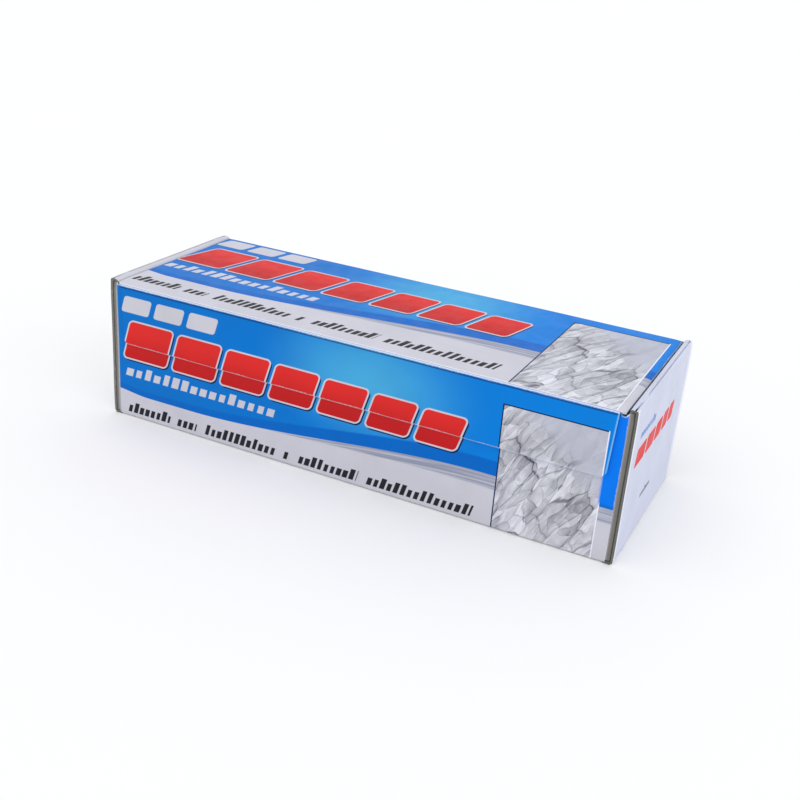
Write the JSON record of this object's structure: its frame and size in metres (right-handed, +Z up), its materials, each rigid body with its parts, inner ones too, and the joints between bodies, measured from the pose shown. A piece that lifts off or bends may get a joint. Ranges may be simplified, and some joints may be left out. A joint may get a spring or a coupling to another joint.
{
  "type": "boxed aluminium foil roll",
  "caption": "Long printed card carton with a hinged lid, a hanging front flap with a toothed cutting strip, and a loose roll of aluminium foil on a card core inside.",
  "frame": {"origin": "middle of the carton's outline, at the height of the surface it stands on", "axes": "+X along the carton to the right as seen from the front, -Y out of the front, +Z up"},
  "size_m": [0.316, 0.116, 0.0862],
  "materials": {
    "printed_card": "printed card, satin",
    "core_card": "raw grey-brown card",
    "foil": "bright rolled foil",
    "steel_strip": "tinned sheet"
  },
  "bodies": {
    "tray": {"carton_tray": "printed_card", "foil_roll": "foil", "core_tube": "core_card"},
    "lid": {"lid_panel": "printed_card"},
    "flap": {"front_flap": "printed_card", "cutter_strip": "steel_strip"}
  },
  "joints": [
    {"name": "lid_hinge", "type": "hinge", "parent": "tray", "child": "lid", "pos_m": [0, 0.05756, 0.08456], "axis": [-1, 0, 0], "range_deg": [0, 165]},
    {"name": "flap_hinge", "type": "hinge", "parent": "lid", "child": "flap", "pos_m": [0, -0.05756, 0.08456], "axis": [-1, 0, 0], "range_deg": [0, 150]}
  ]
}
